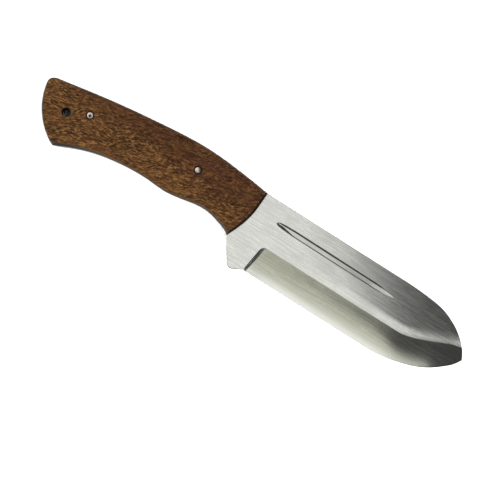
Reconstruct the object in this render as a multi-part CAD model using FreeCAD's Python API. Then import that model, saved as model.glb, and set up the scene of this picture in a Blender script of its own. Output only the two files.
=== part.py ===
import FreeCAD, Part
import math
import os

# A full-tang camp knife, lying on its side.
# One flat steel piece is the blade, the ricasso with its finger guard, and the tang.
# Two wooden scales are glued to the tang with thin layers of epoxy and held by two plain pins,
# and one lanyard hole goes through everything near the butt.
# Frame, in millimetres: +X from the butt to the tip, +Y from the edge to the spine, +Z up
# through the thickness. The origin is under the middle of the outline, on the lower scale's
# outer face. The outline is drawn about the blade's middle line and centred at the end.

# Driving dimensions
overall_length = 260.0
blade_height = 40.5
steel_thickness = 4.0
scale_thickness = 7.5
bond_thickness = 0.15
pin_diameter = 4.0
lanyard_diameter = 4.5
bevel_height = 15.9

# Worked out from them
tip_x = overall_length / 2
butt_x = -overall_length / 2
spine_y = blade_height / 2 - 0.2
edge_y = spine_y - blade_height
half_steel = steel_thickness / 2
handle_thickness = steel_thickness + 2 * (scale_thickness + bond_thickness)
middle_z = handle_thickness / 2
bevel_top_y = edge_y + bevel_height

# The blade's outline: straight spine and edge, then the point and the belly sweep to the tip
tip = (tip_x, 0.6)
spine_start = (0.0, spine_y)
point_start = (84.0, spine_y)
point_points = [(97.8, 19.4), (107.0, 18.1), (113.4, 15.8), (119.6, 12.4), (125.6, 7.1), (128.2, 3.9)]
belly_start = (84.0, edge_y)
belly_points = [(97.8, -18.9), (107.1, -16.4), (116.5, -12.3), (124.8, -6.0), (128.0, -2.8)]

# The finger guard: a straight front, a rounded corner, and a heel where the edge starts
guard_top = (-8.3, -10.6)
guard_corner = (0.4, -24.7)
guard_radius = 3.5
edge_heel = (7.9, edge_y)

# The grip's outline: its back, its curved butt, and its underside with two finger hollows
back_points = [(-98.8, 17.2), (-67.6, 21.3), (-39.5, 23.3), (-17.7, 21.9), (-9.0, 20.9)]
back_end = (-126.2, 12.4)
butt_corner = (butt_x, 11.6)
butt_high = (butt_x, 8.3)
butt_middle = (-123.0, -8.1)
butt_low = (-110.3, -18.6)
under_rear_points = [(-99.0, -13.6), (-86.5, -9.8), (-74.0, -7.8)]
under_middle = (-61.5, -7.1)
under_front_points = [(-49.0, -7.7), (-36.5, -5.9), (-25.0, -4.5), (-15.0, -6.7), (-11.0, -8.2)]

# The scales' front line, bowed towards the blade and run past the outline at both ends
front_points = [(-2.0, 25.0), (-2.4, 15.0), (-3.4, 5.0), (-6.7, -5.0), (-11.2, -14.6)]

# Rounding of the scales' outer rims, fullest under the hand at the butt and at the front
back_round = 1.2
front_round = 1.5
under_round_rear = 3.2
under_round_middle = 1.6
under_round_front = 2.6

# The hollow bevels: the sweep of their top line, their hollow, and the fine edge they end in
bevel_sweep_points = [(92.0, -4.6), (98.0, -4.1), (104.0, -2.4), (110.0, 0.0), (116.0, 2.6), (122.0, 5.0)]
bevel_sweep_end = (126.6, 6.0)
hollow_depth = 0.25
fine_edge_width = 1.0
fine_edge_half = 0.42
edge_half = 0.12

# The plunge at the heel, where the bevels start
plunge_head = (9.9, bevel_top_y - 1.0)
plunge_width = 2.0

# The fuller, a slim shallow groove with long tapers. Their bluntness is 1 where they come
# evenly to a point, and nearer 0 where they are blunt
fuller_start = (10.1, 9.6)
fuller_end = (82.0, 9.1)
fuller_half_width = 1.6
fuller_depth = 0.4
fuller_taper = 12.0
fuller_bluntness = 0.45

# The pins and the lanyard hole
front_pin_at = (-39.2, 10.9)
rear_pin_at = (-101.7, 5.0)
lanyard_at = (-112.9, -0.2)
pin_chamfer = 0.35
dimple_radius = 0.5
dimple_offset = 0.4

# Cutters run this far past what they cut, and start this far above what they only touch
overshoot = 3.0
clearance = 0.02

ALONG_X = FreeCAD.Vector(1, 0, 0)
ALONG_Z = FreeCAD.Vector(0, 0, 1)
ORIGIN = FreeCAD.Vector(0, 0, 0)


def point(xy, z=0.0):
    """A point of the outline as a vector."""
    return FreeCAD.Vector(xy[0], xy[1], z)


def line(start, end):
    """A straight edge between two outline points."""
    return Part.LineSegment(point(start), point(end)).toShape()


def smooth(points, start_direction=None, end_direction=None):
    """A smooth edge through the points, leaving and arriving in the directions given."""
    vectors = [point(p) for p in points]
    curve = Part.BSplineCurve()
    if start_direction is None and end_direction is None:
        curve.interpolate(Points=vectors)
        return curve.toShape()
    first = start_direction or (vectors[1] - vectors[0])
    last = end_direction or (vectors[-1] - vectors[-2])
    curve.interpolate(Points=vectors, InitialTangent=first, FinalTangent=last)
    return curve.toShape()


def closed_face(edges):
    """The flat face inside a ring of edges given in any order."""
    return Part.Face(Part.Wire(Part.__sortEdges__(edges)))


def corner_arc(before, corner, after, radius):
    """The start, middle and end of the arc that rounds a sharp corner."""
    to_before = (point(before) - point(corner)).normalize()
    to_after = (point(after) - point(corner)).normalize()
    half_angle = to_before.getAngle(to_after) / 2
    reach = radius / math.tan(half_angle)
    bisector = (to_before + to_after).normalize()
    centre = point(corner) + bisector * (radius / math.sin(half_angle))
    return point(corner) + to_before * reach, centre - bisector * radius, point(corner) + to_after * reach


def belly_edge():
    """The cutting edge's sweep from its straight stretch up to the tip."""
    return smooth([belly_start] + belly_points + [tip], start_direction=ALONG_X)


def outline_face():
    """The whole steel outline, blade and tang, as a flat face."""
    guard_front = (point(guard_corner) - point(guard_top)).normalize()
    arc_start, arc_middle, arc_end = corner_arc(guard_top, guard_corner, edge_heel, guard_radius)
    butt_top = Part.BezierCurve()
    butt_top.setPoles([point(butt_high), point(butt_corner), point(back_end)])
    return closed_face([
        belly_edge(),
        smooth([point_start] + point_points + [tip], start_direction=ALONG_X),
        line(spine_start, point_start),
        smooth([back_end] + back_points + [spine_start], end_direction=ALONG_X),
        butt_top.toShape(),
        Part.Arc(point(butt_high), point(butt_middle), point(butt_low)).toShape(),
        smooth([butt_low] + under_rear_points + [under_middle], end_direction=ALONG_X),
        smooth([under_middle] + under_front_points + [guard_top], ALONG_X, guard_front),
        Part.LineSegment(point(guard_top), arc_start).toShape(),
        Part.Arc(arc_start, arc_middle, arc_end).toShape(),
        Part.LineSegment(arc_end, point(edge_heel)).toShape(),
        line(edge_heel, belly_start),
    ])


def grip_face():
    """The part of the outline that the scales cover, behind their front line."""
    front_high = front_points[0]
    front_low = front_points[-1]
    corners = [front_high, (butt_x - overshoot, front_high[1]), (butt_x - overshoot, guard_corner[1]),
               (front_low[0], guard_corner[1]), front_low]
    borders = [smooth(front_points)] + [line(a, b) for a, b in zip(corners, corners[1:])]
    return outline_face().common(closed_face(borders)).Faces[0]


def raised(face, low, high):
    """A flat face made into a plate between two heights."""
    plate = face.extrude(ALONG_Z * (high - low))
    plate.translate(ALONG_Z * low)
    return plate


def rod(at, diameter, low, high):
    """A round rod along Z, for a pin or a hole."""
    return Part.makeCylinder(diameter / 2, high - low, point(at, low))


def all_holes():
    """One rod for each hole through the tang, the bonds and the scales."""
    holes = [(front_pin_at, pin_diameter), (rear_pin_at, pin_diameter), (lanyard_at, lanyard_diameter)]
    rods = [rod(at, diameter, -overshoot, handle_thickness + overshoot) for at, diameter in holes]
    return Part.makeCompound(rods)


def bevel_section(top, foot, depth=1.0):
    """One cross-section of what is ground off, from the bevel's top line to past the edge.

    Heights are from the middle of the steel. At depth 0 the section only hovers over the flat.
    """
    outward = (point(foot) - point(top)).normalize()
    width = (point(foot) - point(top)).Length
    hollow = hollow_depth * (width / bevel_height) ** 2

    def ground(distance, height):
        level = half_steel + clearance * (1 - depth) - depth * (half_steel - height)
        return point(top) + outward * distance + ALONG_Z * level

    start = ground(0.0, half_steel)
    fine = ground(width - fine_edge_width, fine_edge_half)
    edge = ground(width, edge_half)
    beyond = ground(width + overshoot, edge_half)
    pulled = (start + fine) * 0.5 - ALONG_Z * (2 * hollow * depth)
    hollow_curve = Part.BezierCurve()
    hollow_curve.setPoles([start, pulled, fine])
    lid_foot = FreeCAD.Vector(beyond.x, beyond.y, half_steel + overshoot)
    lid_top = FreeCAD.Vector(start.x, start.y, half_steel + overshoot)
    corners = [fine, edge, beyond, lid_foot, lid_top, start]
    straight = [Part.LineSegment(a, b).toShape() for a, b in zip(corners, corners[1:])]
    return Part.Wire([hollow_curve.toShape()] + straight)


def bevel_cutters():
    """What is ground off one side: the plunge, the straight stretch and the sweep to the tip."""
    full_top = (plunge_head[0] + plunge_width, bevel_top_y)
    full_foot = (edge_heel[0] + plunge_width, edge_y)
    bend_top = (belly_start[0], bevel_top_y)
    first = bevel_section(full_top, full_foot)
    last = bevel_section(bend_top, belly_start)
    plunge = Part.makeLoft([bevel_section(plunge_head, edge_heel, 0.0), first], True, True)
    straight = Part.makeLoft([first, last], True, True)
    belly = belly_edge()
    tops = bevel_sweep_points + [bevel_sweep_end]
    sections = [last]
    for number, top in enumerate(tops, start=1):
        along = belly.FirstParameter + (belly.LastParameter - belly.FirstParameter) * number / len(tops)
        foot = belly.valueAt(along)
        sections.append(bevel_section(top, (foot.x, foot.y)))
    past_top = (bevel_sweep_end[0] + overshoot, bevel_sweep_end[1] + 0.5)
    past_foot = (tip[0] + overshoot, tip[1] + 2.0)
    sections.append(bevel_section(past_top, past_foot))
    return [plunge, straight, Part.makeLoft(sections, True, False)]


def fuller_cutter():
    """A slim spindle whose lower side makes the groove, with tapers at both ends."""
    radius = (fuller_half_width ** 2 + fuller_depth ** 2) / (2 * fuller_depth)
    axis_height = radius - fuller_depth
    length = math.dist(fuller_start, fuller_end)
    steps = 4
    taper = []
    for n in range(steps + 1):
        half_width = fuller_half_width * (n / steps) ** fuller_bluntness
        taper.append((fuller_taper * n / steps, math.hypot(axis_height, half_width)))
    far_taper = [(length - along, size) for along, size in reversed(taper)]
    spindle = closed_face([
        smooth(taper, end_direction=ALONG_X),
        line(taper[-1], far_taper[0]),
        smooth(far_taper, start_direction=ALONG_X),
        line(far_taper[-1], (length, 0.0)),
        line((length, 0.0), (0.0, 0.0)),
        line((0.0, 0.0), taper[0]),
    ]).revolve(ORIGIN, ALONG_X, 360)
    slope = math.atan2(fuller_end[1] - fuller_start[1], fuller_end[0] - fuller_start[0])
    spindle.rotate(ORIGIN, ALONG_Z, math.degrees(slope))
    spindle.translate(point(fuller_start, half_steel + axis_height))
    return spindle


def make_blade():
    """The steel: ground and grooved alike on both sides, with its three holes."""
    steel = raised(outline_face(), -half_steel, half_steel)
    for cutter in bevel_cutters() + [fuller_cutter()]:
        steel = steel.cut(cutter)
        steel = steel.cut(cutter.mirror(ORIGIN, ALONG_Z))
    steel.translate(ALONG_Z * middle_z)
    return steel.cut(all_holes())


def make_bond(low):
    """A thin layer of epoxy over the whole grip."""
    return raised(grip_face(), low, low + bond_thickness).cut(all_holes())


def under_round(x):
    """The rim's rounding on the underside, at one end or the other or where its two halves meet."""
    if abs(x - under_middle[0]) < overshoot:
        return under_round_middle
    return under_round_rear if x < under_middle[0] else under_round_front


def rim_radii(edge):
    """The rounding at the start and the end of one edge of a scale's rim."""
    start = edge.valueAt(edge.FirstParameter)
    middle = edge.valueAt((edge.FirstParameter + edge.LastParameter) / 2)
    end = edge.valueAt(edge.LastParameter)
    if middle.x > guard_top[0]:
        return front_round, front_round
    if middle.y < 0 and middle.x > butt_low[0]:
        return under_round(start.x), under_round(end.x)
    return back_round, back_round


def make_upper_scale():
    """The upper scale, rounded along its outer rim."""
    document = FreeCAD.newDocument("scale")
    plain = document.addObject("Part::Feature", "plain")
    plain.Shape = raised(grip_face(), middle_z + half_steel + bond_thickness, handle_thickness)
    rounding = document.addObject("Part::Fillet", "rounding")
    rounding.Base = plain
    rounding.Edges = [(number, *rim_radii(edge)) for number, edge in enumerate(plain.Shape.Edges, start=1)
                      if edge.BoundBox.ZMin > handle_thickness - clearance]
    document.recompute()
    return rounding.Shape.Solids[0].cut(all_holes())


def make_pin(at):
    """A plain pin as long as the handle is thick, with chamfered ends."""
    pin = rod(at, pin_diameter, 0.0, handle_thickness)
    rims = [edge for edge in pin.Edges if isinstance(edge.Curve, Part.Circle)]
    return pin.makeChamfer(pin_chamfer, rims)


def make_rear_pin():
    """The rear pin, with a small punched dimple in its upper end."""
    dimple_at = (rear_pin_at[0], rear_pin_at[1] - dimple_offset)
    dimple = Part.makeCone(0.0, 2 * dimple_radius, 2 * dimple_radius,
                           point(dimple_at, handle_thickness - dimple_radius))
    return make_pin(rear_pin_at).cut(dimple)


def main():
    """Make every piece, centre the outline on the origin and write the files."""
    blade = make_blade()
    upper_scale = make_upper_scale()
    pieces = {
        "blade": blade,
        "upper_scale": upper_scale,
        "lower_scale": upper_scale.mirror(ALONG_Z * middle_z, ALONG_Z),
        "upper_bond": make_bond(middle_z + half_steel),
        "lower_bond": make_bond(middle_z - half_steel - bond_thickness),
        "front_pin": make_pin(front_pin_at),
        "rear_pin": make_rear_pin(),
    }
    box = blade.optimalBoundingBox()
    centring = FreeCAD.Vector(-box.Center.x, -box.Center.y, 0)
    print("centring", centring)
    os.makedirs("parts", exist_ok=True)
    for name, piece in pieces.items():
        piece.translate(centring)
        print(name, "valid" if piece.isValid() else "NOT VALID", piece.optimalBoundingBox())
        piece.exportStep("parts/" + name + ".step")


main()
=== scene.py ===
import math

import bmesh
import bpy
import numpy as np
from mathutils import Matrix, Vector
from mathutils.geometry import delaunay_2d_cdt


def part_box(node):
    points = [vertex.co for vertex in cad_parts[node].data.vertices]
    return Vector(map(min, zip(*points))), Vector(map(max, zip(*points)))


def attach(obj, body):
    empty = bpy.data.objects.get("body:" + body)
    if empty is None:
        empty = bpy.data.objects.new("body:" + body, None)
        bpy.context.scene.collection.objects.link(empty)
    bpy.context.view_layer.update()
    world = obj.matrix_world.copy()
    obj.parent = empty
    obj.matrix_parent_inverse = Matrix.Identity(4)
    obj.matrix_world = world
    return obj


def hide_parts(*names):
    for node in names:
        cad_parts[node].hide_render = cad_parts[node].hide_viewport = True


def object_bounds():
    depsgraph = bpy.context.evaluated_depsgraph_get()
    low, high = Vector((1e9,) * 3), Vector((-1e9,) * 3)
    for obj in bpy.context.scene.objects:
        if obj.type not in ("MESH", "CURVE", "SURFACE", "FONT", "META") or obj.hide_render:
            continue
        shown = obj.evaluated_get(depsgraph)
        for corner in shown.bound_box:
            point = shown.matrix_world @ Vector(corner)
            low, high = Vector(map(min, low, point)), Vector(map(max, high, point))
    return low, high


# The looks of a full-tang camp knife that lies on its side.
# Its outlines are read from the CAD meshes, so every piece stays where the CAD has it.
# Lengths are in millimetres until a mesh is made. +X runs from the butt to the tip,
# +Y from the cutting edge to the spine, and +Z up through the thickness.

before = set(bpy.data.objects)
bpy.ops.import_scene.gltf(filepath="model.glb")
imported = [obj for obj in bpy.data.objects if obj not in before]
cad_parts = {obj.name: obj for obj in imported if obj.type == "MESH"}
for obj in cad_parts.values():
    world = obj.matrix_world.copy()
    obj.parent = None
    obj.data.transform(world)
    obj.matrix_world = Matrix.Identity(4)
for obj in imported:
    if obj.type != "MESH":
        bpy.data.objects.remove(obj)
cad_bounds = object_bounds()

MM = 0.001
UP = np.array([0.0, 0.0, 1.0])

# Patches of a mesh: the edge between two of them is sharp, unless the pair is in SOFT_PAIRS.
FLAT, ROUND, WALL, BORE, BEVEL, FINE, PLUNGE, GROOVE = range(8)
SOFT_PAIRS = {(FLAT, ROUND), (ROUND, WALL), (ROUND, BORE), (BEVEL, PLUNGE)}
SHARP_ANGLE = math.radians(40)

# The blade's points carry this attribute for its materials: the share of painted highlight near the straight
# edge
EDGE_HIGHLIGHT = "painted_edge_highlight"


# ---------------------------------------------------------------- reading the frame

def box(node):
    """A CAD node's lowest and highest corners in millimetres."""
    low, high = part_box(node)
    return np.array(low) / MM, np.array(high) / MM


def cad_points_and_faces(node):
    """A CAD node's welded points in millimetres, and its faces as lists of point numbers."""
    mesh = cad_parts[node].data
    numbers = {}
    points = []
    for vertex in mesh.vertices:
        key = tuple(round(value / MM, 4) for value in vertex.co)
        if key not in numbers:
            numbers[key] = len(points)
            points.append(key)
    keys = [numbers[tuple(round(value / MM, 4) for value in vertex.co)] for vertex in mesh.vertices]
    faces = [[keys[number] for number in polygon.vertices] for polygon in mesh.polygons]
    return np.array(points), faces


def signed_area(loop):
    """The area inside a flat loop, above zero where it runs anticlockwise."""
    following = np.roll(loop, -1, axis=0)
    return 0.5 * np.sum(loop[:, 0] * following[:, 1] - following[:, 0] * loop[:, 1])


def flat_borders(node, height):
    """The borders of a CAD node's flat face at a height: the outline first, then its holes.

    Each is an array of X and Y that runs anticlockwise.
    """
    points, faces = cad_points_and_faces(node)
    level = [face for face in faces if all(abs(points[n][2] - height) < 1e-3 for n in face)]
    edges = {(a, b) for face in level for a, b in zip(face, face[1:] + face[:1])}
    following = {a: b for a, b in edges if (b, a) not in edges}
    borders = []
    while following:
        start = next(iter(following))
        loop = [start]
        while following[loop[-1]] != start:
            loop.append(following.pop(loop[-1]))
        following.pop(loop[-1])
        border = points[loop][:, :2]
        borders.append(border if signed_area(border) > 0 else border[::-1])
    return sorted(borders, key=signed_area, reverse=True)


# ---------------------------------------------------------------- curves in the plane

def lengths_along(points):
    """How far along a run of points each one is."""
    steps = np.linalg.norm(np.diff(points, axis=0), axis=1)
    return np.concatenate([[0.0], np.cumsum(steps)])


def at_fractions(points, fractions):
    """The points at these fractions of a run's length."""
    along = lengths_along(points)
    wanted = np.asarray(fractions) * along[-1]
    return np.stack([np.interp(wanted, along, points[:, axis]) for axis in range(points.shape[1])], axis=1)


def evenly(points, spacing):
    """The same run with evenly spaced points."""
    count = max(2, round(lengths_along(points)[-1] / spacing))
    return at_fractions(points, np.linspace(0, 1, count + 1))


def no_long_steps(points, spacing):
    """The same run with extra points in its long straight steps."""
    pieces = [points[:1]]
    for a, b in zip(points, points[1:]):
        count = max(1, math.ceil(np.linalg.norm(b - a) / spacing))
        pieces.append(a + (b - a) * (np.arange(1, count + 1) / count)[:, None])
    return np.concatenate(pieces)


def eased(points, passes):
    """A run with small kinks smoothed away and its ends kept."""
    points = points.copy()
    for _ in range(passes):
        points[1:-1] = points[1:-1] * 0.5 + (points[:-2] + points[2:]) * 0.25
    return points


def smoothed(run):
    """A run in even steps of half a millimetre, with its small kinks smoothed away."""
    return eased(evenly(run, 0.5), 12)


def nearest_on(run, places):
    """The nearest place on a run of points to each place."""
    start = run[:-1][None]
    step = (run[1:] - run[:-1])[None]
    reach = places[:, None] - start
    share = np.clip(np.sum(reach * step, axis=2) / np.maximum(np.sum(step * step, axis=2), 1e-12), 0, 1)
    found = start + share[..., None] * step
    nearest = np.linalg.norm(places[:, None] - found, axis=2).argmin(axis=1)
    return found[np.arange(len(places)), nearest]


def distance_to(run, places):
    """The distance from each place to a run of points."""
    return np.linalg.norm(places - nearest_on(run, places), axis=1)


def closed(loop):
    """A loop with its first point again at its end."""
    return np.concatenate([loop, loop[:1]])


def inside(loop, places):
    """Whether each place is inside a loop."""
    x, y = places[:, 0][:, None], places[:, 1][:, None]
    a, b = loop[None], np.roll(loop, -1, axis=0)[None]
    crosses = (a[..., 1] > y) != (b[..., 1] > y)
    rise = np.where(crosses, b[..., 1] - a[..., 1], 1.0)
    where = a[..., 0] + (y - a[..., 1]) * (b[..., 0] - a[..., 0]) / rise
    return np.sum(crosses & (x < where), axis=1) % 2 == 1


def inward_normals(run):
    """The directions to the left of a run, into the outline it goes round anticlockwise."""
    steps = np.diff(run, axis=0)
    before = np.concatenate([steps[:1], steps])
    after = np.concatenate([steps, steps[-1:]])
    before = before / np.linalg.norm(before, axis=1)[:, None]
    after = after / np.linalg.norm(after, axis=1)[:, None]
    middle = before + after
    middle = middle / np.linalg.norm(middle, axis=1)[:, None]
    return np.stack([-middle[:, 1], middle[:, 0]], axis=1)


def turns(loop):
    """How far a closed loop turns left at each point, in radians."""
    before, after = loop - np.roll(loop, 1, axis=0), np.roll(loop, -1, axis=0) - loop
    cross = before[:, 0] * after[:, 1] - before[:, 1] * after[:, 0]
    return np.arctan2(cross, np.sum(before * after, axis=1))


def smooth_step(value, low, high):
    """0 below low, 1 above high, and smooth between."""
    share = np.clip((np.asarray(value, float) - low) / (high - low), 0, 1)
    return share * share * (3 - 2 * share)


def with_height(places, height):
    """Places in the plane as points in space."""
    return np.column_stack([places, np.broadcast_to(height, len(places))])


# ---------------------------------------------------------------- making meshes

class Skin:
    """A mesh in the making: points in millimetres, and faces with the patch that each is in."""

    def __init__(self):
        self.points = []
        self.faces = []
        self.patches = []

    def add(self, points):
        first = sum(len(block) for block in self.points)
        self.points.append(np.asarray(points, float))
        return np.arange(first, first + len(points))

    def band(self, right, left, patch, is_closed=False):
        """Faces between two runs of as many points each."""
        if is_closed:
            right, left = closed(right), closed(left)
        a, b = self.add(right), self.add(left)
        for n in range(len(a) - 1):
            self.faces.append([a[n], a[n + 1], b[n + 1], b[n]])
            self.patches.append(patch)

    def sheet(self, rows, patch, is_closed=False):
        """Faces between each run of points and the next."""
        for right, left in zip(rows, rows[1:]):
            self.band(right, left, patch, is_closed)

    def filled(self, borders, inner, height, patch):
        """A sheet that fills the first border apart from the others, with inner points."""
        places = [Vector(place) for border in borders for place in border]
        edges = []
        first = 0
        for border in borders:
            count = len(border)
            edges += [(first + n, first + (n + 1) % count) for n in range(count)]
            first += count
        places += [Vector(place) for place in inner]
        found, _, faces, _, _, _ = delaunay_2d_cdt(places, edges, [], 1, 1e-5)
        flat = np.array([list(place) for place in found])
        numbers = self.add(with_height(flat, height(flat)))
        centres = np.array([flat[list(face)].mean(axis=0) for face in faces])
        in_hole = np.any([inside(border, centres) for border in borders[1:]], axis=0)
        for face, hidden in zip(faces, in_hole):
            if not hidden:
                self.faces.append([numbers[n] for n in face])
                self.patches.append(patch)

    def mirrored(self, middle):
        """Adds the same again on the other side of a level plane."""
        points = np.concatenate(self.points)
        other = points * [1, 1, -1] + [0, 0, 2 * middle]
        numbers = self.add(other)
        for face, patch in list(zip(self.faces, self.patches)):
            self.faces.append([numbers[n] for n in face])
            self.patches.append(patch)

    def flipped(self, middle):
        """This skin moved to the other side of a level plane."""
        skin = Skin()
        skin.points = [np.concatenate(self.points) * [1, 1, -1] + [0, 0, 2 * middle]]
        skin.faces = self.faces
        skin.patches = self.patches
        return skin

    def make(self, name, materials, patch_materials, flat_normal=None):
        """The finished object. flat_normal gives the true normals of the FLAT patch's points."""
        points = np.concatenate(self.points)
        shape = bmesh.new()
        patch_layer = shape.faces.layers.int.new("patch")
        corners = [shape.verts.new(Vector(point) * MM) for point in points]
        for face, patch in zip(self.faces, self.patches):
            if len(set(face)) < 3:
                continue
            made = shape.faces.new([corners[n] for n in face])
            made[patch_layer] = patch
            made.material_index = patch_materials.get(patch, 0)
            made.smooth = True
        bmesh.ops.remove_doubles(shape, verts=shape.verts, dist=0.002 * MM)
        loose = [vertex for vertex in shape.verts if not vertex.link_faces]
        bmesh.ops.delete(shape, geom=loose, context="VERTS")
        bmesh.ops.recalc_face_normals(shape, faces=shape.faces)
        for edge in shape.edges:
            if len(edge.link_faces) != 2:
                print(name, "open edge at", [tuple(round(v / MM, 2) for v in vert.co) for vert in edge.verts])
                continue
            pair = tuple(sorted(face[patch_layer] for face in edge.link_faces))
            meets = pair[0] == pair[1] or pair in SOFT_PAIRS
            edge.smooth = meets and edge.calc_face_angle(0) < SHARP_ANGLE
        mesh = bpy.data.meshes.new(name)
        shape.to_mesh(mesh)
        shape.free()
        for material in materials:
            mesh.materials.append(material)
        if flat_normal is not None:
            self.set_flat_normals(mesh, flat_normal)
        piece = bpy.data.objects.new(name, mesh)
        bpy.context.scene.collection.objects.link(piece)
        return piece

    @staticmethod
    def set_flat_normals(mesh, flat_normal):
        patches = mesh.attributes["patch"].data
        normals = np.zeros((len(mesh.loops), 3))
        loops = [n for face in mesh.polygons if patches[face.index].value == FLAT for n in face.loop_indices]
        facing = {n: face.normal.z for face in mesh.polygons for n in face.loop_indices}
        places = np.array([mesh.vertices[mesh.loops[n].vertex_index].co for n in loops]) / MM
        true = flat_normal(places[:, :2])
        side = np.array([1.0 if facing[n] > 0 else -1.0 for n in loops])
        true[:, 2] *= side
        normals[loops] = true
        mesh.normals_split_custom_set([tuple(normal) for normal in normals])


def directions_round(count=48):
    """Evenly spaced directions all the way round."""
    angles = np.arange(count) * 2 * math.pi / count
    return np.stack([np.cos(angles), np.sin(angles)], axis=1)


def round_hole(skin, centre, radius, top, bottom, mouth):
    """A bore's wall down from a rounded mouth. Gives its rings in the top and the bottom face."""
    spokes = directions_round()
    rings = []
    for step in np.linspace(0, math.pi / 2, 5):
        out = radius + mouth * (1 - math.cos(step))
        rings.append(with_height(centre + spokes * out, top - mouth * (1 - math.sin(step))))
    skin.sheet(rings[::-1], ROUND, True)
    skin.band(rings[0], with_height(centre + spokes * radius, bottom), BORE, True)
    return centre + spokes * (radius + mouth), centre + spokes * radius


def centre_and_radius(border):
    """The centre and radius of a round border."""
    centre = (border.min(axis=0) + border.max(axis=0)) / 2
    return centre, np.ptp(border[:, 0]) / 2


# ---------------------------------------------------------------- driving dimensions

blade_low, blade_high = box("blade")
scale_low, scale_high = box("upper_scale")
middle_z = (blade_low[2] + blade_high[2]) / 2
scale_front_x = scale_high[0]

# Polishing rolls the flats over a little, just above the bevels: how wide the roll is, how steep it
# gets, where along the knife it comes in, and how much wider it is near the tip
roll_width = 5.2
roll_slope = math.tan(math.radians(6.1))
roll_fade = (-10.0, 105.0)
tip_spread = 0.4
tip_from = (88.0, 112.0)

# The bevels fall evenly at first, then ever more gently: the even share of their width, and the
# slope left at their foot as a share of the first
even_share = 0.18
foot_slope_straight = 0.56
foot_slope_belly = 0.66

# How many strips the bevels are made of along the edge
bevel_columns = 200

# The belly, where the edge sweeps up to the tip
belly = (92.0, 118.0)

# The painted highlight that lightens the steel near the straight edge: how far from the edge it goes from
# full to none, and where it comes in after the heel
highlight_width = (0.4, 10.0)
highlight_from = (6.0, 34.0)

# The fine edge that ends the bevels, hardly there on the straight stretch: half its last thickness,
# how steep each side is, and its widths
edge_half = 0.12
fine_slope = 0.22
fine_width_straight = 0.05
fine_width_belly = 0.3

# The cove at the heel: how far along the edge and along the bevel's top line it reaches, and the
# power that its hollow follows
plunge_width = 0.9
plunge_reach = 0.3
plunge_hollow = 1.4

# The fuller's rims: how far the lower one lies inside the CAD trough's and the worn upper one
# outside it, and how much farther apart they are near the left end
lower_inset = 0.08
upper_outset = 0.25
left_swell = 0.4
left_swell_fade = (1.0, 13.0)

# The fuller's walls: their widths, the narrowest floor between them, the share of their widths left
# at the right end, how much wider the lower one is at the left end, the width and the depth that
# the upper one's steep part takes up, the rounding of their feet and the least gap between them
lower_wall = 0.42
upper_wall = 1.05
least_floor = 0.07
right_wall_share = 0.25
right_walls = (4.0, 12.0)
left_wall_growth = 2.6
left_walls = (1.0, 13.0)
steep_width_share = 0.7
steep_depth_share = 0.88
foot_round = 0.08
least_gap = 2.2 * foot_round

# The fuller's floor: its depth as a share of the CAD trough's, how far it takes to rise at each end
# and how sharply, and the share of its depth that the left end drops at once
floor_share = 0.85
left_rise = 12.0
left_rise_power = 3
right_rise = 14.0
right_rise_power = 1.5
left_drop = 0.12
left_drop_length = 0.9

# The sections along the fuller: the ones that crowd toward each end, and the evenly spaced ones of
# its whole length, less those at each end that the crowded ones replace
end_columns = 24
even_columns = 82
replaced_columns = 17

# Rounding of the steel's outline: the spine's edges, the finger guard's and where that comes in
# below the grip, how far each takes to fade before the bevel, and the rims that don't show
spine_round = 0.25
guard_round = 0.6
guard_from = (13.0, 17.0)
round_fade = 4.0
hidden_round = 0.03

# The gap round the pins, their chamfers, the mouths of their holes, the rear one's dimple and
# where it is, and the mouth of the lanyard hole
pin_gap = 0.12
pin_chamfer = 0.5
pin_mouth = 0.12
dimple_radius = 0.95
dimple_at = (0.25, -0.25)
lanyard_mouth = 0.45


# ---------------------------------------------------------------- the blade

def blade_curves():
    """The blade's curves in the plane, read from its CAD mesh."""
    borders = flat_borders("blade", blade_high[2])
    outline = borders[0]
    outline = np.roll(outline, -int(np.argmin(outline[:, 1])), axis=0)
    last = int(np.argmax(outline[:, 0]))
    heel = int(np.argmax(turns(outline)[:last]))
    if np.linalg.norm(outline[heel + 1] - outline[heel]) < 0.1:
        outline = np.delete(outline, heel + 1, axis=0)
        last -= 1
    steps = np.diff(outline[heel:last + 1], axis=0)
    level = np.abs(steps[:, 1]) < 0.05 * np.abs(steps[:, 0])
    line_start = heel + int(np.argmax(level))
    points, _ = cad_points_and_faces("blade")
    tip = points[np.argmax(points[:, 0])][:2]
    near_edge = points[np.abs(points[:, 2] - middle_z) < 0.2][:, :2]
    top_line = outline[line_start:last + 1]
    right = near_edge[(near_edge[:, 0] > outline[heel][0] + 0.01) & (near_edge[:, 0] < tip[0])]
    under = right[right[:, 1] < np.interp(right[:, 0], top_line[:, 0], top_line[:, 1]) - 2.0]
    under = under[(under[:, 1] < tip[1])]
    edge = np.unique(np.round(np.concatenate([outline[heel:heel + 1], under, tip[None]]), 3), axis=0)
    chord = tip - outline[last]
    reach = points[:, :2] - outline[last]
    outside = chord[0] * reach[:, 1] - chord[1] * reach[:, 0] > 0.01
    beyond = points[outside & (reach[:, 0] > 0) & (points[:, 0] < tip[0])][:, :2]
    point = np.unique(np.round(np.concatenate([outline[last:last + 1], beyond, tip[None]]), 3), axis=0)
    return {
        "plunge_line": outline[heel:line_start + 1],
        "top_line": top_line,
        "edge": edge,
        "point": point,
        "rest": np.concatenate([outline[last:], outline[:heel + 1]]),
        "holes": borders[1:],
    }


def blade_height(top_line):
    """The height of the upper flat at any place: level, then rolled over just above the bevel."""
    def height(places):
        width = roll_width * (1 + tip_spread * smooth_step(places[:, 0], *tip_from))
        away = np.minimum(distance_to(top_line, places), width)
        drop = roll_slope * (width - away) ** 2 / (2 * width)
        return blade_high[2] - drop * smooth_step(places[:, 0], *roll_fade)
    return height


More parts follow.
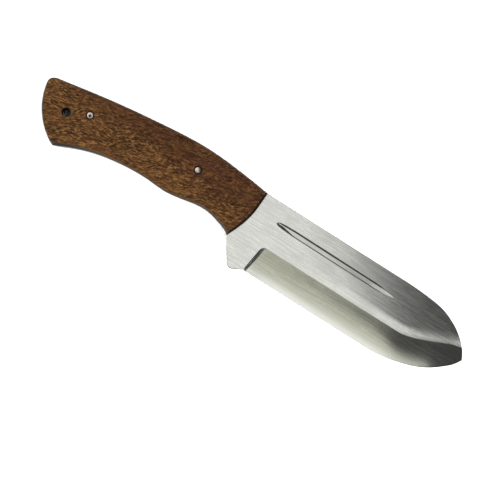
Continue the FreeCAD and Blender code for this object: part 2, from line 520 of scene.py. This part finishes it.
def normals_of(height):
    """The unit normals of a height function."""
    def normals(places):
        step = 0.02
        slope_x = (height(places + [step, 0]) - height(places - [step, 0])) / (2 * step)
        slope_y = (height(places + [0, step]) - height(places - [0, step])) / (2 * step)
        normal = np.column_stack([-slope_x, -slope_y, np.ones(len(places))])
        return normal / np.linalg.norm(normal, axis=1)[:, None]
    return normals


def steel_rounding(places):
    """The rounding of the steel's outline at each place, going to nothing at the bevel's ends."""
    heel_x, heel_y = curves["plunge_line"][0]
    end = curves["top_line"][-1]
    under = places[:, 1] < 0
    x = places[:, 0]
    above = spine_round * smooth_step(x, scale_front_x - 1.0, scale_front_x + 1.0)
    above = above * (1 - smooth_step(x, end[0] - round_fade, end[0]))
    guard = guard_round * smooth_step(-places[:, 1], *guard_from)
    guard = guard * (1 - smooth_step(x, heel_x - round_fade, heel_x))
    radius = np.where(under, guard, above)
    ends = np.minimum(np.linalg.norm(places - end, axis=1), np.linalg.norm(places - [heel_x, heel_y], axis=1))
    return np.maximum(radius, hidden_round * smooth_step(ends, 0.0, 1.0))


def rounded_rim(skin, run, radii, height, steps=5):
    """Rounds a rim: adds its rings, and gives the outer one and the one that meets the flat."""
    inward = inward_normals(run)
    inner = run + inward * radii[:, None]
    base = height(inner)
    rings = []
    for turn in np.linspace(0, math.pi / 2, steps + 1):
        places = run + inward * (radii * (1 - math.cos(turn)))[:, None]
        rings.append(with_height(places, base - radii * (1 - math.sin(turn))))
    skin.sheet(rings, ROUND)
    return rings[0], inner


def half_thickness(shares, width, fine_width, top_half, foot_slope_share):
    """Half the steel's thickness down a bevel, at shares of its width, for one section."""
    along = shares * width
    hollow_end = width - fine_width
    fine_half = edge_half + fine_slope * fine_width
    part = np.clip(along / hollow_end, 0, 1)
    easing = (1 - foot_slope_share) / (2 * (1 - even_share))
    fallen = part - easing * np.clip(part - even_share, 0, 1) ** 2
    hollow = top_half + (fine_half - top_half) * fallen / (1 - easing * (1 - even_share) ** 2)
    fine = edge_half + fine_slope * (width - along)
    return np.where(along <= hollow_end + 1e-9, hollow, fine)


def bevel_grid(height, top_line):
    """The bevel's sections from the heel to the tip: arrays of points, each from the top line down."""
    fractions = np.linspace(0, 1, bevel_columns + 1)
    edge_line = smoothed(curves["edge"])
    start = np.argmin(np.abs(edge_line[:, 0] - curves["edge"][0][0] - plunge_width))
    tops = at_fractions(top_line[past_plunge(top_line):], fractions)
    feet = at_fractions(edge_line[start:], fractions)
    sections = []
    for number, (top, foot) in enumerate(zip(tops, feet)):
        width = np.linalg.norm(foot - top)
        swept = float(smooth_step(foot[0], *belly))
        fine_width = fine_width_straight + (fine_width_belly - fine_width_straight) * swept
        foot_slope = foot_slope_straight + (foot_slope_belly - foot_slope_straight) * swept
        fine_share = 1 - fine_width / width
        shares = np.concatenate([np.linspace(0, 1, 13) * fine_share, [1.0]])
        places = top + (foot - top) * shares[:, None]
        bulge = at_fractions(curves["point"], shares) - (tops[-1] + (feet[-1] - tops[-1]) * shares[:, None])
        places = places + bulge * float(smooth_step(number / bevel_columns, 0.9, 1.0))
        top_half = float(height(top[None])[0]) - middle_z
        levels = middle_z + half_thickness(shares, width, fine_width, top_half, foot_slope)
        sections.append(with_height(places, levels))
    return sections


def past_plunge(top_line):
    """The number of the top line's first point that the cove doesn't reach."""
    return int(np.argmax(lengths_along(top_line) > plunge_reach))


def plunge_grid(height, top_line, first):
    """The cove at the heel where the bevel starts: runs from the heel's border to the first section."""
    shares = np.linalg.norm(first[:, :2] - first[0, :2], axis=1)
    shares = shares / shares[-1]
    whole = np.concatenate([curves["plunge_line"], top_line[1:past_plunge(top_line) + 1]])
    border = at_fractions(evenly(whole, 0.3)[::-1], shares)
    level = height(border)
    runs = []
    for part in np.linspace(0, 1, 12):
        places = border + (first[:, :2] - border) * part
        depth = 1 - (1 - part) ** plunge_hollow
        runs.append(with_height(places, level + (first[:, 2] - level) * depth))
    return runs


def fuller_rows(border, height):
    """The fuller's trough: runs of points along it, from its lower side to its upper one."""
    left, right = border[np.argmin(border[:, 0])], border[np.argmax(border[:, 0])]
    middle_line = np.interp(border[:, 0], [left[0], right[0]], [left[1], right[1]])
    lower = border[border[:, 1] <= middle_line + 1e-6]
    upper = border[border[:, 1] >= middle_line - 1e-6]
    lower, upper = (side[np.argsort(side[:, 0])] for side in (lower, upper))
    points, _ = cad_points_and_faces("blade")
    deep = points[inside(border, points[:, :2]) & (points[:, 2] > middle_z)]
    full_depth = (blade_high[2] - deep[:, 2].min()) * floor_share
    ends = (1 - np.cos(np.linspace(0, math.pi / 2, end_columns))) * right_rise
    even = np.linspace(left[0], right[0], even_columns)[replaced_columns:-replaced_columns]
    x = np.concatenate([left[0] + ends, even, right[0] - ends[::-1]])
    low = np.interp(x, lower[:, 0], lower[:, 1])
    high = np.interp(x, upper[:, 0], upper[:, 1])
    least_width = lower_inset + lower_wall + least_floor + upper_wall - upper_outset
    fit = np.minimum((high - low) / least_width, 1.0)
    growth = 1 + left_wall_growth * (1 - smooth_step(x - left[0], *left_walls))
    swell = left_swell * np.sqrt(np.clip((x - left[0]) / left_drop_length, 0, 1))
    swell = swell * (1 - smooth_step(x - left[0], *left_swell_fade))
    low = low + lower_inset * fit - swell
    high = high + upper_outset * fit + swell
    wall_share = right_wall_share + (1 - right_wall_share) * smooth_step(right[0] - x, *right_walls)
    walls = fit * wall_share
    foot_high = high - upper_wall * walls
    foot_low = np.minimum(low + lower_wall * walls * growth, foot_high - least_gap * walls)
    from_left = np.clip((x - left[0]) / left_rise, 0, 1)
    from_right = np.clip((right[0] - x) / right_rise, 0, 1)
    drop = left_drop * np.clip((x - left[0]) / left_drop_length, 0, 1)
    sunk = drop + (1 - left_drop) * (1 - (1 - from_left) ** left_rise_power)
    sunk = sunk * (1 - (1 - from_right) ** right_rise_power)
    rim_level = height(np.column_stack([x, low]))
    depth = full_depth * sunk
    rows = []
    for across, share in (
        (low, 0.0),
        (foot_low, 1.0),
        (foot_low + foot_round * walls, 1.0),
        (foot_high - foot_round * walls, 1.0),
        (foot_high, 1.0),
        (high - (high - foot_high) * steep_width_share, steep_depth_share),
        (high, 0.0),
    ):
        rows.append(np.column_stack([x, across, rim_level - depth * share]))
    return rows


def store_edge_highlight(mesh):
    """Gives each point of the mesh how much painted highlight its steel gets: most near the straight edge."""
    places = np.array([vertex.co for vertex in mesh.vertices])[:, :2] / MM
    near_edge = 1 - smooth_step(distance_to(curves["edge"], places), *highlight_width)
    highlighted = near_edge * smooth_step(places[:, 0], *highlight_from) * (1 - smooth_step(places[:, 0], *belly))
    mesh.attributes.new(EDGE_HIGHLIGHT, "FLOAT", "POINT").data.foreach_set("value", highlighted)


def make_blade(materials):
    """The steel: flats, hollow bevels with a fine edge, fullers, a rounded guard and its holes."""
    skin = Skin()
    top_line = smoothed(curves["top_line"])
    height = blade_height(top_line)
    sections = bevel_grid(height, top_line)
    plunge = plunge_grid(height, top_line, sections[0])
    for a, b in zip(sections, sections[1:]):
        skin.band(a[:-1], b[:-1], BEVEL)
        skin.band(a[-2:], b[-2:], FINE)
    skin.sheet(plunge, PLUNGE)
    rest = no_long_steps(curves["rest"], 1.5)
    radii = steel_rounding(rest)
    outer, inner = rounded_rim(skin, rest, radii, height)
    borders = [np.concatenate([
        plunge[0][::-1][:, :2],
        np.array([section[0, :2] for section in sections[1:]]),
        inner[1:-1],
    ])]
    rows = fuller_rows(curves["holes"][0], height)
    skin.sheet(rows, GROOVE)
    borders.append(np.concatenate([rows[0][:, :2], rows[-1][::-1][1:-1, :2]]))
    for hole in curves["holes"][1:]:
        centre, radius = centre_and_radius(hole)
        ring, _ = round_hole(skin, centre, radius, blade_high[2], middle_z, hidden_round)
        borders.append(ring)
    rolled = []
    for away in np.arange(0.6, roll_width * (1 + tip_spread) + 0.7, 0.6):
        offset = top_line + inward_normals(top_line) * away
        rolled.append(evenly(offset, 1.6))
    rolled = np.concatenate(rolled)
    clear = inside(borders[0], rolled) & (distance_to(closed(borders[0]), rolled) > 0.45)
    skin.filled(borders, rolled[clear], height, FLAT)
    rim = np.concatenate([
        np.array([run[-1] for run in plunge[:-1]]),
        np.array([section[-1] for section in sections]),
        sections[-1][::-1][1:],
        outer[1:-1],
    ])
    level_rim = rim * [1, 1, 0] + [0, 0, middle_z]
    skin.band(rim, level_rim, WALL, True)
    skin.mirrored(middle_z)
    patch_materials = {BEVEL: 1, FINE: 1, PLUNGE: 2, GROOVE: 3, WALL: 4}
    piece = skin.make("blade_visual", materials, patch_materials, normals_of(height))
    store_edge_highlight(piece.data)
    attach(piece, "root")
    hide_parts("blade")


# ---------------------------------------------------------------- the wooden scales

def scale_skin():
    """The upper scale: flat inside, rounded along its outer rim as the CAD is, with soft hole mouths."""
    outline, *holes = flat_borders("upper_scale", scale_low[2])
    outer_flat = closed(flat_borders("upper_scale", scale_high[2])[0])
    outline = no_long_steps(closed(outline), 1.2)[:-1]
    inner = nearest_on(outer_flat, outline)
    radii = np.linalg.norm(inner - outline, axis=1)
    skin = Skin()
    rings = []
    for angle in np.linspace(0, math.pi / 2, 9):
        run = outline + (inner - outline) * (1 - math.cos(angle))
        rings.append(with_height(run, scale_high[2] - radii * (1 - math.sin(angle))))
    skin.sheet(rings, ROUND, True)
    walls = [with_height(outline, level) for level in (scale_low[2], (scale_low[2] + scale_high[2]) / 2)]
    skin.sheet(walls + [rings[0]], WALL, True)
    inner_borders = [outline]
    outer_borders = [unrepeated(rings[-1][:, :2])]
    for hole in holes:
        centre, radius = centre_and_radius(hole)
        mouth = lanyard_mouth if radius > np.ptp(holes[-1][:, 0]) / 2 + 0.1 else pin_mouth
        outer_ring, inner_ring = round_hole(skin, centre, radius, scale_high[2], scale_low[2], mouth)
        outer_borders.append(outer_ring)
        inner_borders.append(inner_ring)
    skin.filled(outer_borders, [], lambda places: np.full(len(places), scale_high[2]), FLAT)
    skin.filled(inner_borders, [], lambda places: np.full(len(places), scale_low[2]), FLAT)
    return skin


def unrepeated(loop):
    """A loop without the points that repeat the one before."""
    return loop[np.linalg.norm(loop - np.roll(loop, 1, axis=0), axis=1) > 1e-4]


def level_normals(places):
    """The normals of a level face."""
    return np.tile(UP, (len(places), 1))


def make_scales(materials):
    """Both scales; the lower one is the upper one's mirror image."""
    upper = scale_skin()
    for node, skin in (("upper_scale", upper), ("lower_scale", upper.flipped(middle_z))):
        piece = skin.make(node + "_visual", materials, {BORE: 1}, level_normals)
        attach(piece, "root")
        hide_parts(node)


# ---------------------------------------------------------------- the pins

def make_pin(node, material, dome, dimple_depth):
    """A pin with gently domed ends; the upper end may have a small punched dimple."""
    low, high = box(node)
    centre = (low[:2] + high[:2]) / 2
    radius = (high[0] - low[0]) / 2 - pin_gap
    spokes = directions_round()
    face_radius = radius - pin_chamfer

    def end_rings(level, way, dimple):
        rings = []
        for share in np.linspace(0, 1, 17):
            places = spokes * face_radius * share
            fall = dome * share ** 2 * np.ones(len(places))
            away = np.linalg.norm(places - dimple_at, axis=1)
            fall = fall + dimple * np.clip(1 - away / dimple_radius, 0, 1)
            rings.append(with_height(centre + places, level - way * fall))
        for turn in np.linspace(0, math.pi / 2, 5)[1:]:
            out = face_radius + pin_chamfer * math.sin(turn)
            down = dome + pin_chamfer * (1 - math.cos(turn))
            rings.append(with_height(centre + spokes * out, level - way * down))
        return rings

    skin = Skin()
    top = end_rings(high[2], 1, dimple_depth)
    bottom = end_rings(low[2], -1, 0.0)
    skin.sheet(top, ROUND, True)
    skin.sheet(bottom, ROUND, True)
    skin.band(top[-1], bottom[-1], WALL, True)
    piece = skin.make(node + "_visual", [material], {})
    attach(piece, "root")
    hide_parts(node)


# ---------------------------------------------------------------- materials

def colour(code):
    """A colour written as six hexadecimal digits, in Blender's linear values."""
    values = [int(code[n:n + 2], 16) / 255 for n in (0, 2, 4)]
    linear = [v / 12.92 if v <= 0.04045 else ((v + 0.055) / 1.055) ** 2.4 for v in values]
    return (*linear, 1.0)


def new_material(name):
    """An empty node material, its tree and its shader."""
    material = bpy.data.materials.new(name)
    material.use_nodes = True
    tree = material.node_tree
    tree.nodes.clear()
    shader = tree.nodes.new("ShaderNodeBsdfPrincipled")
    output = tree.nodes.new("ShaderNodeOutputMaterial")
    tree.links.new(shader.outputs["BSDF"], output.inputs["Surface"])
    return material, tree, shader


def put(tree, socket, value):
    """Links a socket to another, or sets its value."""
    if isinstance(value, bpy.types.NodeSocket):
        tree.links.new(value, socket)
    else:
        socket.default_value = value


def node(tree, kind, inputs=None, **settings):
    """A new node with its settings and inputs."""
    made = tree.nodes.new(kind)
    for key, value in settings.items():
        setattr(made, key, value)
    for key, value in (inputs or {}).items():
        put(tree, made.inputs[key], value)
    return made


def grain_space(tree, turn=0.0):
    """Object coordinates in millimetres, turned so that X runs along the grain."""
    place = node(tree, "ShaderNodeTexCoord").outputs["Object"]
    return node(tree, "ShaderNodeMapping", {
        "Vector": place, "Scale": (1 / MM, 1 / MM, 1 / MM), "Rotation": (0.0, 0.0, -math.radians(turn)),
    }).outputs["Vector"]


def noise(tree, space, size, detail=2.0, roughness=0.5):
    """Noise whose features have these sizes in millimetres along X, Y and Z."""
    stretched = node(tree, "ShaderNodeMapping", {
        "Vector": space, "Scale": tuple(1 / length for length in size),
    }).outputs["Vector"]
    return node(tree, "ShaderNodeTexNoise", {
        "Vector": stretched, "Scale": 1.0, "Detail": detail, "Roughness": roughness,
    })


def ramp(tree, value, low, high, to_low=0.0, to_high=1.0):
    """A value taken smoothly from one range to another."""
    return node(tree, "ShaderNodeMapRange", {
        "Value": value, "From Min": low, "From Max": high, "To Min": to_low, "To Max": to_high,
    }, interpolation_type="SMOOTHSTEP").outputs["Result"]


def maths(tree, operation, first, second):
    """The result of one operation on two values."""
    made = node(tree, "ShaderNodeMath", operation=operation)
    put(tree, made.inputs[0], first)
    put(tree, made.inputs[1], second)
    return made.outputs[0]


def mixed(tree, share, first, second, blend="MIX"):
    """Two colours mixed by a share."""
    made = node(tree, "ShaderNodeMix", {"Factor": share}, data_type="RGBA", blend_type=blend)
    put(tree, made.inputs["A"], first)
    put(tree, made.inputs["B"], second)
    return made.outputs["Result"]


def bump(tree, height, strength, depth_mm):
    """A bump from a height that goes from 0 to 1 over a depth in millimetres."""
    return node(tree, "ShaderNodeBump", {
        "Height": height, "Strength": strength, "Distance": depth_mm * MM,
    }).outputs["Normal"]


# Near-white steel colour for the painted highlight near the straight edge
PAINTED_HIGHLIGHT = (0.93, 0.93, 0.9, 1.0)


def steel_material(name, code, roughness, streak_width):
    """Steel brushed lengthwise: streaks in its colour, gloss and height, and faint handling marks.

    Close to the straight cutting edge its colour is lightened toward near-white, a painted highlight.
    """
    material, tree, shader = new_material(name)
    space = grain_space(tree)
    streaks = noise(tree, space, (16.0, streak_width, 4.0), 3.0, 0.65).outputs["Fac"]
    grit = noise(tree, space, (1.3, 0.8, 1.0), 2.0, 0.7).outputs["Fac"]
    marks = noise(tree, space, (9.0, 5.0, 7.0), 3.0, 0.6).outputs["Fac"]
    shader.inputs["Metallic"].default_value = 1.0
    light = colour(code)
    dark = tuple(value * 0.8 for value in light[:3]) + (1.0,)
    streaked = mixed(tree, ramp(tree, streaks, 0.36, 0.62), dark, light)
    marked = mixed(tree, ramp(tree, marks, 0.42, 0.66, 0.0, 0.4), streaked, dark)
    gritty = mixed(tree, ramp(tree, grit, 0.38, 0.66, 0.0, 0.5), marked, dark)
    painted_edge_highlight = node(tree, "ShaderNodeAttribute", attribute_name=EDGE_HIGHLIGHT).outputs["Fac"]
    # Painted highlight: the colour lightened toward near-white close to the straight edge
    highlighted = mixed(tree, painted_edge_highlight, gritty, PAINTED_HIGHLIGHT)
    put(tree, shader.inputs["Base Color"], highlighted)
    brushed = ramp(tree, streaks, 0.2, 0.8, roughness - 0.005, roughness + 0.01)
    handled = ramp(tree, marks, 0.35, 0.75, 0.0, 0.02)
    put(tree, shader.inputs["Roughness"], maths(tree, "ADD", brushed, handled))
    height = maths(tree, "ADD", streaks, maths(tree, "MULTIPLY", grit, 0.25))
    put(tree, shader.inputs["Normal"], bump(tree, height, 1.0, 0.0004))
    return material


def darkened_round_pins(tree, colour_socket, dark_width=0.9):
    """The colour darkened close round each pin, out to a width in millimetres."""
    place = node(tree, "ShaderNodeTexCoord").outputs["Object"]
    level = node(tree, "ShaderNodeVectorMath", {0: place, 1: (1.0, 1.0, 0.0)}, operation="MULTIPLY")
    for pin in ("front_pin", "rear_pin"):
        low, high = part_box(pin)
        middle = node(tree, "ShaderNodeCombineXYZ", {0: (low[0] + high[0]) / 2, 1: (low[1] + high[1]) / 2})
        ends = {0: level.outputs[0], 1: middle.outputs[0]}
        away = node(tree, "ShaderNodeVectorMath", ends, operation="DISTANCE").outputs["Value"]
        radius = (high[0] - low[0]) / 2
        share = ramp(tree, away, radius + dark_width * MM, radius, 0.0, 0.8)
        colour_socket = mixed(tree, share, colour_socket, colour("120b07"))
    return colour_socket


def wood_material():
    """Oiled dark hardwood: golden flecks, dark lines and redder zones in wavy, slanting grain, with a painted
    grey sheen and painted near-black shade on the rounded rims.
    """
    material, tree, shader = new_material("oiled_hardwood")
    space = grain_space(tree, turn=20.0)
    swirl = noise(tree, space, (17.0, 9.0, 9.0), 2.0).outputs["Color"]
    centred = node(tree, "ShaderNodeVectorMath", {0: swirl, 1: (0.5, 0.5, 0.5)}, operation="SUBTRACT")
    bent = node(tree, "ShaderNodeVectorMath", operation="MULTIPLY_ADD")
    put(tree, bent.inputs[0], centred.outputs[0])
    bent.inputs[1].default_value = (5.0, 8.0, 5.0)
    put(tree, bent.inputs[2], space)
    grain = bent.outputs[0]
    flecks = noise(tree, grain, (2.4, 0.7, 1.2), 2.5, 0.65).outputs["Fac"]
    lines = noise(tree, grain, (5.0, 0.65, 1.0), 2.0, 0.6).outputs["Fac"]
    bands = noise(tree, grain, (26.0, 6.5, 9.0), 2.0, 0.5).outputs["Fac"]
    zones = noise(tree, space, (16.0, 7.0, 9.0), 1.0, 0.5).outputs["Fac"]
    pores = noise(tree, grain, (1.8, 0.6, 0.6), 2.0, 0.6).outputs["Fac"]
    lenses = node(tree, "ShaderNodeTexVoronoi", {
        "Vector": node(tree, "ShaderNodeMapping", {
            "Vector": grain, "Scale": (1 / 5.0, 1 / 1.2, 1 / 3.0),
        }).outputs["Vector"],
        "Scale": 1.0,
    }, feature="DISTANCE_TO_EDGE").outputs["Distance"]
    across = node(tree, "ShaderNodeSeparateXYZ", {"Vector": grain_space(tree, turn=-4.0)}).outputs["Y"]
    heart = ramp(tree, maths(tree, "ADD", across, maths(tree, "MULTIPLY", bands, 14.0)), 5.0, 17.0)
    ground = mixed(tree, ramp(tree, bands, 0.35, 0.65), colour("251408"), colour("3d2512"))
    red_share = maths(tree, "MULTIPLY", ramp(tree, zones, 0.45, 0.65, 0.2, 0.9), heart)
    red = mixed(tree, red_share, ground, colour("2d160f"))
    less_gold = ramp(tree, heart, 0.0, 1.0, 1.0, 0.42)
    golden_share = maths(tree, "MULTIPLY", ramp(tree, flecks, 0.46, 0.60), less_gold)
    golden = mixed(tree, golden_share, red, colour("5a4022"))
    ringed = mixed(tree, ramp(tree, lenses, 0.14, 0.0, 0.0, 0.5), golden, colour("150b05"))
    lined = mixed(tree, ramp(tree, lines, 0.46, 0.37, 0.0, 0.8), ringed, colour("110703"))
    pored = mixed(tree, ramp(tree, pores, 0.44, 0.34, 0.0, 0.6), lined, colour("0c0502"))
    # Painted light on the rounded rims, by how far the surface turns from level: a grey sheen where it starts
    # to turn, near-black shade where it turns steeply and at the front end
    facing = node(tree, "ShaderNodeSeparateXYZ", {
        "Vector": node(tree, "ShaderNodeTexCoord").outputs["Normal"],
    })
    level = maths(tree, "ABSOLUTE", facing.outputs["Z"], 0.0)
    on_round = ramp(tree, level, 0.0, 0.12, 0.35, 1.0)
    # Painted sheen: grey where the rounding starts to turn from level
    sheen_share = maths(tree, "MULTIPLY", ramp(tree, level, 0.97, 0.86, 0.0, 0.75), on_round)
    # Painted shade: near-black where the rounding turns steeply toward the sides
    rim_shade_share = maths(tree, "MULTIPLY", ramp(tree, level, 0.66, 0.4, 0.0, 0.92), on_round)
    # Painted shade: near-black on rounding that faces the tip, mostly the front end by the blade
    front_shade_share = maths(tree, "MULTIPLY", ramp(tree, facing.outputs["X"], 0.1, 0.35, 0.0, 0.92), on_round)
    painted_sheen = mixed(tree, sheen_share, darkened_round_pins(tree, pored), colour("3a3128"))
    # The painted rim shade is mixed in here
    rim = mixed(tree, rim_shade_share, painted_sheen, colour("0a0604"))
    front_shade = mixed(tree, front_shade_share, rim, colour("0a0604"))
    put(tree, shader.inputs["Base Color"], front_shade)
    put(tree, shader.inputs["Roughness"], ramp(tree, flecks, 0.3, 0.7, 0.42, 0.55))
    shader.inputs["Specular IOR Level"].default_value = 0.1
    height = maths(tree, "ADD", maths(tree, "MULTIPLY", lines, 0.6), pores)
    put(tree, shader.inputs["Normal"], bump(tree, height, 0.8, 0.12))
    return material


def bore_shade_material():
    """The wall of the lanyard hole: end grain, painted near-black as the shade inside the hole."""
    material, tree, shader = new_material("end_grain_painted_shade")
    grain = noise(tree, grain_space(tree), (0.4, 0.4, 3.0), 3.0, 0.6).outputs["Fac"]
    # Painted shade: near-black colours for the bore's wall
    shaded_grain = mixed(tree, ramp(tree, grain, 0.35, 0.7), colour("0a0604"), colour("1c100a"))
    put(tree, shader.inputs["Base Color"], shaded_grain)
    put(tree, shader.inputs["Roughness"], ramp(tree, grain, 0.3, 0.7, 0.6, 0.8))
    shader.inputs["Specular IOR Level"].default_value = 0.15
    put(tree, shader.inputs["Normal"], bump(tree, grain, 0.4, 0.05))
    return material


def epoxy_material():
    """Dark cured epoxy, glossy where it is smooth, with a little dust in it."""
    material, tree, shader = new_material("dark_epoxy")
    space = grain_space(tree)
    dust = noise(tree, space, (0.6, 0.6, 0.6), 3.0, 0.6).outputs["Fac"]
    dusty = mixed(tree, ramp(tree, dust, 0.4, 0.8), colour("17120d"), colour("33281c"))
    put(tree, shader.inputs["Base Color"], dusty)
    put(tree, shader.inputs["Roughness"], ramp(tree, dust, 0.3, 0.7, 0.18, 0.4))
    put(tree, shader.inputs["Normal"], bump(tree, dust, 0.4, 0.03))
    return material


def pin_material():
    """Pin steel, sanded flush with the wood: fine crossing scratches."""
    material, tree, shader = new_material("sanded_pin_steel")
    space = grain_space(tree, turn=20.0)
    scratches = noise(tree, space, (2.2, 0.16, 0.16), 2.0, 0.6).outputs["Fac"]
    smudges = noise(tree, space, (0.9, 0.9, 0.9), 2.0, 0.5).outputs["Fac"]
    shader.inputs["Metallic"].default_value = 1.0
    smudged = mixed(tree, ramp(tree, smudges, 0.35, 0.7), colour("f0dfd6"), colour("cfc0b6"))
    put(tree, shader.inputs["Base Color"], smudged)
    put(tree, shader.inputs["Roughness"], ramp(tree, scratches, 0.3, 0.7, 0.16, 0.3))
    put(tree, shader.inputs["Normal"], bump(tree, scratches, 0.5, 0.01))
    return material


# ---------------------------------------------------------------- the studio

# The knife lies across the picture, turned by this much
picture_turn = math.radians(32.3)
PICTURE_RIGHT = Vector((math.cos(picture_turn), math.sin(picture_turn), 0.0))
PICTURE_UP = Vector((-math.sin(picture_turn), math.cos(picture_turn), 0.0))


def make_camera():
    """A long lens straight above the knife, whose picture is as wide as its field in metres."""
    low, high = cad_bounds
    field = 0.26
    right_of_middle, above_middle, above_floor = 0.0057, -0.0096, 0.015
    lens = bpy.data.cameras.new("camera")
    lens.lens = 200.0
    lens.sensor_width = 36.0
    camera = bpy.data.objects.new("camera", lens)
    distance = field * lens.lens / lens.sensor_width
    middle_x, middle_y = (low[0] + high[0]) / 2, (low[1] + high[1]) / 2
    camera.location = (middle_x + right_of_middle, middle_y + above_middle, distance + above_floor)
    camera.rotation_euler = (0.0, 0.0, picture_turn)
    bpy.context.scene.collection.objects.link(camera)
    bpy.context.scene.camera = camera


def make_panel(name, sides, height, radiance):
    """A soft light that faces down and isn't mirrored by the steel, such as one bounced off a wall.

    Its left, right, low and high sides are along the picture's, in metres.
    """
    left, right, low, high = sides
    width, depth = right - left, high - low
    light = bpy.data.lights.new(name, "AREA")
    light.shape = "RECTANGLE"
    light.size = width
    light.size_y = depth
    light.energy = radiance * math.pi * width * depth
    panel = bpy.data.objects.new(name, light)
    sideways = PICTURE_RIGHT * (left + right) / 2 + PICTURE_UP * (low + high) / 2
    panel.location = sideways + Vector((0.0, 0.0, height))
    panel.rotation_euler = (0.0, 0.0, picture_turn)
    panel.visible_camera = False
    panel.visible_glossy = False
    bpy.context.scene.collection.objects.link(panel)


def make_softbox(name, corners, height, radiance, tint):
    """A soft box: a glowing sheet above, with its corners given along the picture's sides, in metres."""
    shape = bmesh.new()
    shape.faces.new([shape.verts.new(PICTURE_RIGHT * right + PICTURE_UP * up) for right, up in corners])
    mesh = bpy.data.meshes.new(name)
    shape.to_mesh(mesh)
    shape.free()
    material = bpy.data.materials.new(name + "_glow")
    material.use_nodes = True
    tree = material.node_tree
    tree.nodes.clear()
    glow = node(tree, "ShaderNodeEmission", {"Color": (*tint, 1.0), "Strength": radiance})
    output = node(tree, "ShaderNodeOutputMaterial")
    tree.links.new(glow.outputs["Emission"], output.inputs["Surface"])
    mesh.materials.append(material)
    softbox = bpy.data.objects.new(name, mesh)
    softbox.location = (0.0, 0.0, height)
    softbox.visible_camera = False
    softbox.visible_shadow = False
    bpy.context.scene.collection.objects.link(softbox)


def make_world():
    """A plain room: pale walls, darker on the picture's right, and a dark ceiling above the lights."""
    world = bpy.data.worlds.new("room")
    world.use_nodes = True
    tree = world.node_tree
    tree.nodes.clear()
    direction = node(tree, "ShaderNodeTexCoord").outputs["Generated"]
    rise = node(tree, "ShaderNodeSeparateXYZ", {"Vector": direction}).outputs["Z"]
    across = node(tree, "ShaderNodeVectorMath", {0: direction, 1: PICTURE_RIGHT}, operation="DOT_PRODUCT")
    walls = ramp(tree, across.outputs["Value"], -0.2, 0.4, 0.45, 0.08)
    overhead = ramp(tree, rise, 0.15, 0.5)
    strength = node(tree, "ShaderNodeMix", {"Factor": overhead, "A": walls, "B": 0.06}).outputs["Result"]
    tint = (1.0, 0.99, 0.97, 1.0)
    background = node(tree, "ShaderNodeBackground", {"Color": tint, "Strength": strength})
    output = node(tree, "ShaderNodeOutputWorld")
    tree.links.new(background.outputs["Background"], output.inputs["Surface"])
    bpy.context.scene.world = world


def make_floor():
    """A plain pale floor that the knife lies on."""
    shape = bmesh.new()
    bmesh.ops.create_grid(shape, x_segments=8, y_segments=8, size=3.0)
    mesh = bpy.data.meshes.new("floor")
    shape.to_mesh(mesh)
    shape.free()
    material, tree, shader = new_material("pale_floor")
    speckle = noise(tree, grain_space(tree), (40.0, 40.0, 40.0), 3.0).outputs["Fac"]
    speckled = mixed(tree, ramp(tree, speckle, 0.3, 0.7), (0.9, 0.9, 0.9, 1.0), (0.93, 0.93, 0.93, 1.0))
    put(tree, shader.inputs["Base Color"], speckled)
    shader.inputs["Roughness"].default_value = 0.9
    mesh.materials.append(material)
    floor = bpy.data.objects.new("floor", mesh)
    floor.location = (0.0, 0.0, cad_bounds[0][2] - 0.0001)
    bpy.context.scene.collection.objects.link(floor)


def make_studio():
    """The floor, the room, the lights and the camera."""
    make_floor()
    make_world()
    make_camera()
    upper_corners = [(-0.9, 0.127), (0.157, -0.285), (-0.08, 0.8), (-0.9, 0.8)]
    lower_corners = [(-0.9, 0.127), (-0.9, -0.27), (0.157, -0.285)]
    make_softbox("upper_softbox", upper_corners, 1.01, 0.978, (1.0, 1.007, 0.974))
    make_softbox("lower_softbox", lower_corners, 1.01, 0.571, (1.0, 1.005, 0.82))
    make_panel("left_fill", (-1.5, -0.3, -1.3, 1.3), 1.6, 7.0)
    make_panel("right_fill", (0.1, 1.5, -1.3, 1.3), 1.6, 7.0)
    bpy.context.scene.view_settings.view_transform = "Standard"


# ---------------------------------------------------------------- everything together

curves = blade_curves()
flat_steel = steel_material("satin_flats", "e6e7e3", 0.12, 1.0)
ground_steel = steel_material("ground_bevels", "eff0ec", 0.09, 0.9)
coarse_steel = steel_material("coarse_plunge", "d8d9d6", 0.4, 0.8)
# The fuller's milled steel, its colour darkened a little as painted shade in the groove
shaded_groove_steel = steel_material("milled_fuller_painted_shade", "dcddd9", 0.13, 0.7)
edge_steel = steel_material("sawn_outline", "7a7b78", 0.38, 0.6)
make_blade([flat_steel, ground_steel, coarse_steel, shaded_groove_steel, edge_steel])
make_scales([wood_material(), bore_shade_material()])
pin_steel = pin_material()
make_pin("front_pin", pin_steel, 0.14, 0.0)
make_pin("rear_pin", pin_steel, 0.03, 0.42)
epoxy = epoxy_material()
for bond in ("upper_bond", "lower_bond"):
    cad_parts[bond].material_slots[0].material = epoxy
make_studio()
